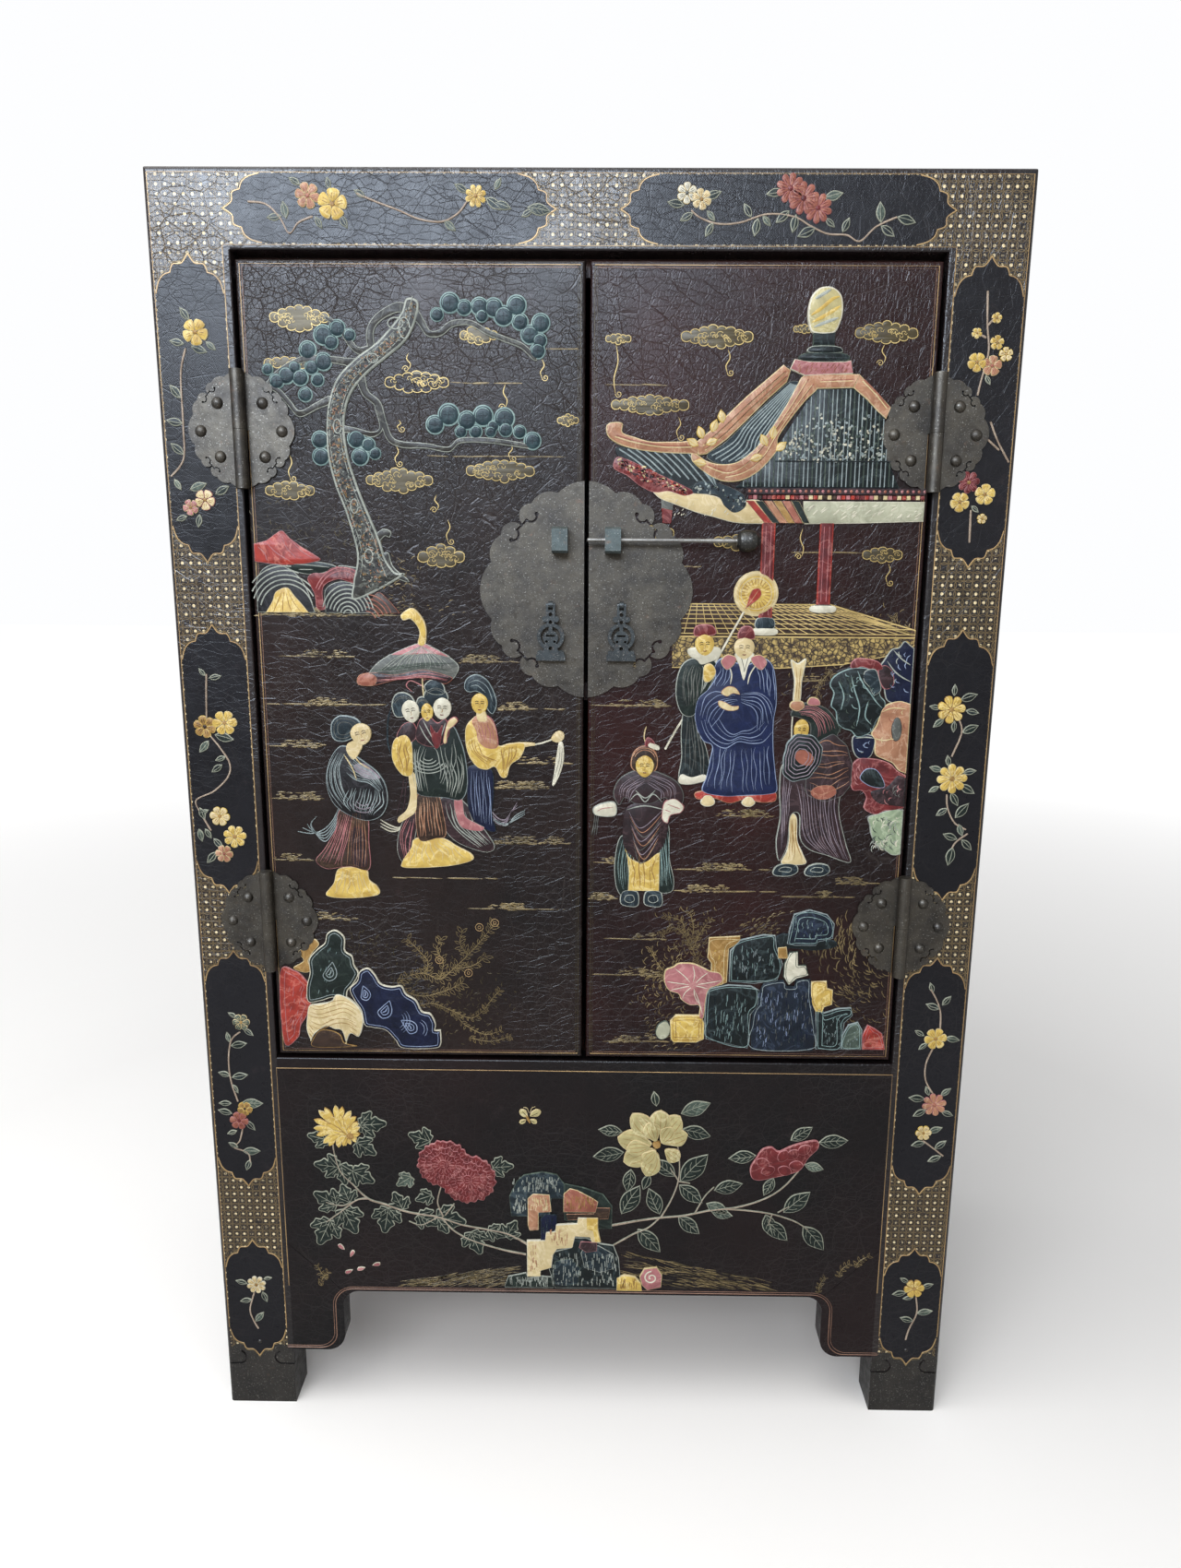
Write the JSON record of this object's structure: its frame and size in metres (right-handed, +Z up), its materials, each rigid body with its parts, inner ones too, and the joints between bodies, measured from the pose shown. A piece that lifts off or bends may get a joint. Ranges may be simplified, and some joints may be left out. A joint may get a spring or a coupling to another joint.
{
  "type": "lacquered two-door cabinet",
  "caption": "Upright lacquered cabinet on straight legs, with hinged doors, cloud-shaped metalwork, a sliding bolt, drop pulls and a storage well.",
  "frame": {"origin": "middle of the cabinet's footprint, on the floor", "axes": "+Z up, doors face -Y, +X to the viewer's right"},
  "size_m": [0.8028, 0.4436, 1.282],
  "materials": {
    "lacquer": "dark lacquer, satin, fine crackle",
    "inner_lacquer": "dark red-brown lacquer, matt",
    "bronze": "dark patinated bronze, hammered",
    "soapstone": "polished soapstone in many colours",
    "gilding": "worn gold paint"
  },
  "bodies": {
    "case": {"front_post_left": "lacquer", "front_post_right": "lacquer", "rear_post_left": "lacquer", "rear_post_right": "lacquer", "front_top_rail": "lacquer", "rear_top_rail": "lacquer", "side_top_rail_left": "lacquer", "side_top_rail_right": "lacquer", "top_panel": "lacquer", "apron_panel": "lacquer", "spandrel_left": "lacquer", "spandrel_right": "lacquer", "side_apron_left": "lacquer", "side_apron_right": "lacquer", "rear_bottom_rail": "lacquer", "side_panel_left": "lacquer", "side_panel_right": "lacquer", "back_panel": "inner_lacquer", "well_bottom": "inner_lacquer", "sill_rail": "inner_lacquer", "rear_bearer": "inner_lacquer", "middle_bearer": "inner_lacquer", "well_cleat_left": "inner_lacquer", "well_cleat_right": "inner_lacquer", "shelf": "inner_lacquer", "shelf_batten_left": "inner_lacquer", "shelf_batten_right": "inner_lacquer", "door_stop": "inner_lacquer", "upper_left_post_leaf": "bronze", "upper_right_post_leaf": "bronze", "lower_left_post_leaf": "bronze", "lower_right_post_leaf": "bronze", "hinge_pins": "bronze", "post_nails": "bronze", "front_shoe_left": "bronze", "front_shoe_right": "bronze", "rear_shoe_left": "bronze", "rear_shoe_right": "bronze", "shoe_nails": "bronze"},
    "left_door": {"left_door": "lacquer", "left_door_battens": "inner_lacquer", "upper_left_door_leaf": "bronze", "lower_left_door_leaf": "bronze", "left_door_nails": "bronze", "lock_plate_left": "bronze", "staple_left": "bronze", "pull_eye_left": "bronze"},
    "right_door": {"right_door": "lacquer", "right_door_battens": "inner_lacquer", "upper_right_door_leaf": "bronze", "lower_right_door_leaf": "bronze", "right_door_nails": "bronze", "lock_plate_right": "bronze", "staple_right": "bronze", "pull_eye_right": "bronze"},
    "left_pull": {"pull_left": "bronze"},
    "right_pull": {"pull_right": "bronze"},
    "bolt": {"bolt": "bronze"},
    "left_floor_board": {"floor_board_left": "inner_lacquer"},
    "right_floor_board": {"floor_board_right": "inner_lacquer"}
  },
  "joints": [
    {"name": "left_door_swing", "type": "hinge", "parent": "case", "child": "left_door", "pos_m": [-0.32325, -0.20615, 0.816], "axis": [0, 0, -1], "range_deg": [0, 170]},
    {"name": "right_door_swing", "type": "hinge", "parent": "case", "child": "right_door", "pos_m": [0.32325, -0.20615, 0.816], "axis": [0, 0, 1], "range_deg": [0, 170]},
    {"name": "left_pull_swing", "type": "hinge", "parent": "left_door", "child": "left_pull", "pos_m": [-0.034, -0.20655, 0.89725], "axis": [-1, 0, 0], "range_deg": [0, 110]},
    {"name": "right_pull_swing", "type": "hinge", "parent": "right_door", "child": "right_pull", "pos_m": [0.034, -0.20655, 0.89725], "axis": [-1, 0, 0], "range_deg": [0, 110]},
    {"name": "bolt_slide", "type": "slide", "parent": "right_door", "child": "bolt", "axis": [1, 0, 0], "range_m": [-0.108, 0]},
    {"name": "left_floor_board_lift", "type": "slide", "parent": "case", "child": "left_floor_board", "axis": [0, 0, 1], "range_m": [0, 0.355]},
    {"name": "right_floor_board_lift", "type": "slide", "parent": "case", "child": "right_floor_board", "axis": [0, 0, 1], "range_m": [0, 0.355]}
  ]
}
